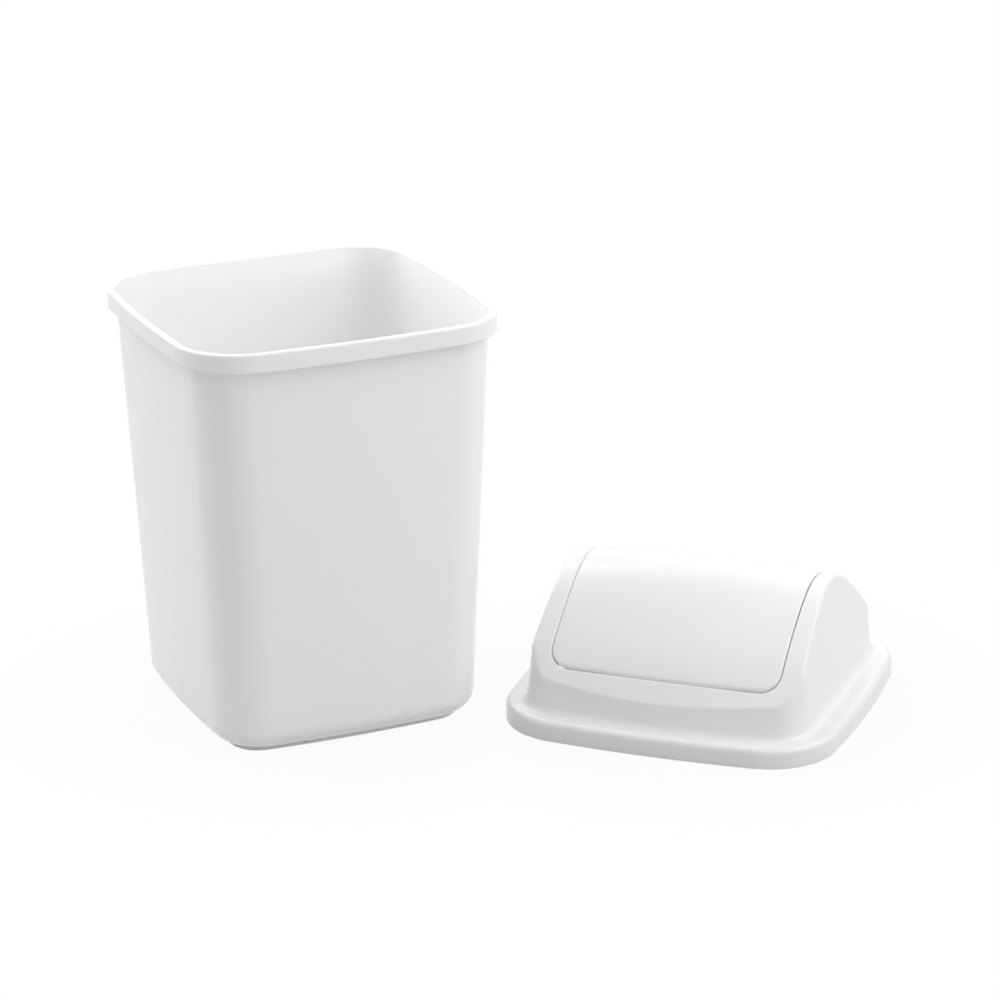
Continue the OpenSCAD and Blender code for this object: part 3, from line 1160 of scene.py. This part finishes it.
@dataclass
class Hinge:
    """Ears under the lid's shell and cheeks with stub pins under the flap, in mm."""

    roof: HoodRoof
    place: Matrix
    pivot_y: float = -4.3
    pivot_z: float = 60.2
    plate_radius: float = 6.5
    # places along the hinge line, from the lid's middle
    cheek_inner: float = 57.9
    cheek_outer: float = 59.85
    pin_root: float = 59.9
    ear_inner: float = 60.55
    ear_outer: float = 63.1
    roof_at: float = 62.0  # where the roof over both plates is measured
    ear_under: float = 1.1  # how far an ear's top lies under the roof's outside
    cheek_under: float = 1.0
    bore: float = 2.8
    bore_chamfer: float = 0.3
    pin: float = 2.75
    pin_length: float = 4.6
    pin_chamfer: float = 0.5
    pin_fillet: float = 0.2
    edge: float = 0.5
    sharp_over: float = 30.0  # degrees
    points: int = 72

    def outline(self, radius: float, top_inset: float) -> np.ndarray:
        """Traces a plate: round below the pivot, reaching up under the roof above it.

        Args:
            radius: Half width of the plate.
            top_inset: How far its top lies under the roof's outside.

        Returns:
            The outline, as (y, z).
        """
        angle = np.linspace(0, 2 * math.pi, self.points, endpoint=False)
        y, z = radius * np.cos(angle), radius * np.sin(angle)
        upper = z > 0
        ceiling = self.roof.height(np.full(self.points, self.roof_at), self.pivot_y + y)
        reach = ceiling - top_inset - self.pivot_z
        scale = np.minimum(radius / np.maximum(np.abs(np.cos(angle)), 1e-6),
                           reach / np.maximum(np.sin(angle), 1e-6))
        y = np.where(upper, scale * np.cos(angle), y)
        z = np.where(upper, scale * np.sin(angle), z)
        return np.column_stack([self.pivot_y + y, self.pivot_z + z])

    def disc(self, radius: float) -> np.ndarray:
        """Traces a circle round the pivot.

        Args:
            radius: Its radius.

        Returns:
            As many points as a plate's outline has, as (y, z).
        """
        angle = np.linspace(0, 2 * math.pi, self.points, endpoint=False)
        return np.column_stack([self.pivot_y + radius * np.cos(angle),
                                self.pivot_z + radius * np.sin(angle)])

    @staticmethod
    def across(x: float, ring: np.ndarray) -> np.ndarray:
        """A (y, z) ring put at a place along the hinge line."""
        return np.column_stack([np.full(len(ring), x), ring])

    def ear(self, side: int, name: str) -> bpy.types.Object:
        """Makes the bored plate that hangs from the lid's shell beside the opening.

        Args:
            side: 1 for the right end of the hinge line, -1 for the left.
            name: Name of the piece.

        Returns:
            The piece.
        """
        near, far = self.ear_inner * side, self.ear_outer * side
        step, chamfer = self.edge * side, self.bore_chamfer * side
        full = self.outline(self.plate_radius, self.ear_under)
        small = self.outline(self.plate_radius - self.edge, self.ear_under + self.edge)
        bore, mouth = self.disc(self.bore), self.disc(self.bore + self.bore_chamfer)
        rings = [self.across(near + chamfer, bore), self.across(near, mouth),
                 self.across(near, small), self.across(near + step, full),
                 self.across(far - step, full), self.across(far, small),
                 self.across(far, mouth), self.across(far - chamfer, bore)]
        skin = Skin()
        skin.loft(rings, closed=True)
        return skin.build(name, self.place, self.sharp_over)

    def cheek(self, side: int, name: str) -> bpy.types.Object:
        """Makes the plate at the flap's side with the stub pin that turns in the ear.

        Args:
            side: 1 for the right end of the hinge line, -1 for the left.
            name: Name of the piece.

        Returns:
            The piece.
        """
        inner, face = self.cheek_inner * side, self.cheek_outer * side
        tip = self.pin_root * side + self.pin_length * side
        step, fillet = self.edge * side, self.pin_fillet * side
        full = self.outline(self.plate_radius, self.cheek_under)
        small = self.outline(self.plate_radius - self.edge,
                             self.cheek_under + self.edge)
        middle_ring = (small + self.disc(self.edge)) / 2
        pin, soft = self.disc(self.pin), self.disc(self.pin - self.pin_chamfer)
        rings = [self.across(inner, middle_ring),
                 self.across(inner, small), self.across(inner + step, full),
                 self.across(face - step, full), self.across(face, small),
                 self.across(face, self.disc(self.pin + self.pin_fillet)),
                 self.across(face + fillet, pin),
                 self.across(tip - self.pin_chamfer * side, pin),
                 self.across(tip, soft)]
        skin = Skin()
        index = skin.loft(rings)
        middle = np.array([inner, self.pivot_y, self.pivot_z])
        skin.cap(index[0], middle, 2)
        skin.cap(index[-1], middle + (tip - inner, 0, 0), 2)
        return skin.build(name, self.place, self.sharp_over)

    def dress(self, piece: bpy.types.Object, body: Body, slot: Slot,
              finish: GlossWhite) -> None:
        """Gives a hinge piece its finish and its place in the frame.

        Args:
            piece: The ear or cheek.
            body: The body that it moves with.
            slot: Not used.
            finish: Its plastic.
        """
        piece.data.materials.append(finish.build())
        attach(piece, body.value)


# ---------------------------------------------------------------- studio


@dataclass(frozen=True)
class SoftBox:
    """Square studio lamp that faces the objects."""

    name: str
    azimuth: float  # degrees from +X towards +Y
    elevation: float
    watts: float
    size: float = 1.4
    distance: float = 1.6

    def build(self, aim: Vector) -> bpy.types.Object:
        """Makes the lamp.

        Args:
            aim: The point that it faces.

        Returns:
            The lamp's object.
        """
        lamp = bpy.data.lights.new(self.name, "AREA")
        lamp.shape = "SQUARE"
        lamp.size = self.size
        lamp.energy = self.watts
        holder = bpy.data.objects.new(self.name, lamp)
        around, up = math.radians(self.azimuth), math.radians(self.elevation)
        direction = Vector((math.cos(up) * math.cos(around),
                            math.cos(up) * math.sin(around), math.sin(up)))
        holder.location = aim + direction * self.distance
        holder.rotation_euler = direction.to_track_quat("Z", "Y").to_euler()
        holder.visible_camera = False
        bpy.context.scene.collection.objects.link(holder)
        return holder


@dataclass
class Studio:
    """White sweep, soft lamps and pale surroundings."""

    floor_half: float = 6.0
    floor_drop: float = 0.0002  # keeps the floor clear of the feet that stand on it
    floor_colour: float = 0.6
    shadow_share: float = 0.06  # of the floor's own shading that shows underfoot
    shadow_from: float = 0.10
    shadow_to: float = 0.21
    stands: tuple[tuple[float, float, float], ...] = ((0.0, 0.0, 0.0), LID_PLACE)
    surround: float = 0.12
    aim: tuple[float, float, float] = (0.08, -0.04, 0.08)
    lamps: tuple[SoftBox, ...] = (
        SoftBox("lamp_back_left", 120.0, 40.0, 19.5, 1.6),
        SoftBox("lamp_left", 180.0, 40.0, 4.2),
        SoftBox("lamp_front", 270.0, 36.0, 10.2, 2.2),
        SoftBox("lamp_right", 330.0, 40.0, 13.0),
        SoftBox("lamp_back_right", 60.0, 40.0, 5.0),
        SoftBox("lamp_top", 270.0, 85.0, 1.8),
    )

    @staticmethod
    def seen_white(graph: ShaderGraph) -> Signal:
        """Tells the rays that see the surroundings as plain white.

        Args:
            graph: The node tree to work in.

        Returns:
            One for rays from the camera, off a gloss or through glass, and else none.
        """
        rays = graph.node("ShaderNodeLightPath", output="Is Camera Ray")
        outputs = rays.value.node.outputs
        seen = rays
        for name in ("Is Glossy Ray", "Is Transmission Ray"):
            seen = seen + Signal(graph, outputs[name])
        return seen.clamp()

    def build_floor(self) -> bpy.types.Object:
        """Makes the floor: white to the camera apart from a soft shadow underfoot.

        Returns:
            The floor.
        """
        mesh = bpy.data.meshes.new("studio_floor")
        h = self.floor_half
        mesh.from_pydata([(-h, -h, 0), (h, -h, 0), (h, h, 0), (-h, h, 0)], [], [(0, 1, 2, 3)])
        floor = bpy.data.objects.new("studio_floor", mesh)
        bpy.context.scene.collection.objects.link(floor)
        floor.location.z = -self.floor_drop
        material = bpy.data.materials.new("sweep_white")
        material.use_nodes = True
        graph = ShaderGraph(material.node_tree)
        where = graph.node("ShaderNodeTexCoord", output="Object")
        nearest = None
        for stand in self.stands:
            away = graph.node("ShaderNodeVectorMath", {"operation": "DISTANCE"},
                              {0: where, 1: stand}, 1)
            nearest = away if nearest is None else nearest.least(away)
        glow_share = graph.node("ShaderNodeMapRange", {"interpolation_type": "SMOOTHSTEP"}, {
            "Value": nearest, "From Min": self.shadow_from, "From Max": self.shadow_to,
            "To Min": 1.0 - self.shadow_share, "To Max": 1.0})
        matt = graph.node("ShaderNodeBsdfDiffuse", {}, {
            "Color": (self.floor_colour, self.floor_colour, self.floor_colour, 1.0)})
        glow = graph.node("ShaderNodeEmission", {}, {"Strength": 1.0})
        shown = graph.node("ShaderNodeMixShader", {}, {
            0: self.seen_white(graph) * glow_share, 1: matt, 2: glow})
        graph.node("ShaderNodeOutputMaterial", {}, {"Surface": shown})
        mesh.materials.append(material)
        return floor

    def build_surroundings(self) -> None:
        """Makes the world: white where it is seen, a plain level of light otherwise."""
        world = bpy.data.worlds.new("studio")
        bpy.context.scene.world = world
        world.use_nodes = True
        graph = ShaderGraph(world.node_tree)
        plain = graph.node("ShaderNodeBackground", {}, {
            "Color": (1, 1, 1, 1), "Strength": self.surround})
        white = graph.node("ShaderNodeBackground", {}, {
            "Color": (1, 1, 1, 1), "Strength": 1.0})
        shown = graph.node("ShaderNodeMixShader", {}, {
            0: self.seen_white(graph), 1: plain, 2: white})
        graph.node("ShaderNodeOutputWorld", {}, {"Surface": shown})

    def build(self) -> None:
        """Makes the whole studio."""
        self.build_floor()
        self.build_surroundings()
        for lamp in self.lamps:
            lamp.build(Vector(self.aim))


@dataclass(frozen=True)
class ProductCamera:
    """Camera at the photograph's viewing angle."""

    place: tuple[float, float, float] = (-0.63227, -1.70266, 0.74069)
    heading: float = 23.514  # degrees from +Y towards +X
    pitch: float = 19.299  # degrees down
    roll: float = -0.688  # degrees
    lens: float = 134.99
    sensor: float = 36.0
    sees_as_far_as: float = 50.0

    def build(self) -> bpy.types.Object:
        """Makes the camera and gives it to the scene.

        Returns:
            The camera's object.
        """
        data = bpy.data.cameras.new("product_camera")
        data.lens = self.lens
        data.sensor_width = self.sensor
        data.sensor_fit = "HORIZONTAL"
        data.clip_end = self.sees_as_far_as
        camera = bpy.data.objects.new("product_camera", data)
        around, down = math.radians(self.heading), math.radians(self.pitch)
        ahead = Vector((math.cos(down) * math.sin(around),
                        math.cos(down) * math.cos(around), -math.sin(down)))
        right = ahead.cross(Vector((0, 0, 1))).normalized()
        up = right.cross(ahead)
        turn = math.radians(self.roll)
        side = right * math.cos(turn) + up * math.sin(turn)
        top = up * math.cos(turn) - right * math.sin(turn)
        axes = Matrix((side, top, -ahead)).transposed().to_4x4()
        camera.matrix_world = Matrix.Translation(self.place) @ axes
        bpy.context.scene.collection.objects.link(camera)
        bpy.context.scene.camera = camera
        return camera


def report(piece: bpy.types.Object) -> None:
    """Logs a finished piece."""
    log.info("%s: %d faces", piece.name, len(piece.data.polygons))


def main() -> None:
    """Builds the studio and every piece of the bin, and logs each piece's faces."""
    logging.basicConfig(level=logging.INFO, format="%(name)s: %(message)s")
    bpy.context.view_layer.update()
    bpy.context.scene.view_settings.view_transform = "Standard"
    ProductCamera().build()
    Studio().build()

    lid_place = (Matrix.Translation(LID_PLACE)
                 @ Matrix.Rotation(math.radians(LID_TURN), 4, "Z"))
    finish = GlossWhite("gloss_white")
    lid_finish = GlossWhite("gloss_white_lid", LID_WHITE)
    body = BinBody()
    piece = body.build()
    body.dress(piece, finish)
    report(piece)

    roof, opening = HoodRoof(), Opening()
    lid = LidCover(roof, opening, lid_place)
    piece = lid.build()
    lid.dress(piece, lid_finish)
    report(piece)

    flap = SwingFlap(roof, opening, lid_place)
    piece = flap.build()
    flap.dress(piece, lid_finish)
    report(piece)

    hinge = Hinge(roof, lid_place)
    for side, end in ((-1, "left"), (1, "right")):
        ear = hinge.ear(side, f"hinge_ear_{end}")
        hinge.dress(ear, Body.LID, Slot.LID, lid_finish)
        cheek = hinge.cheek(side, f"hinge_cheek_{end}")
        hinge.dress(cheek, Body.FLAP, Slot.FLAP, lid_finish)
        report(ear)
        report(cheek)


if __name__ == "__main__":
    main()
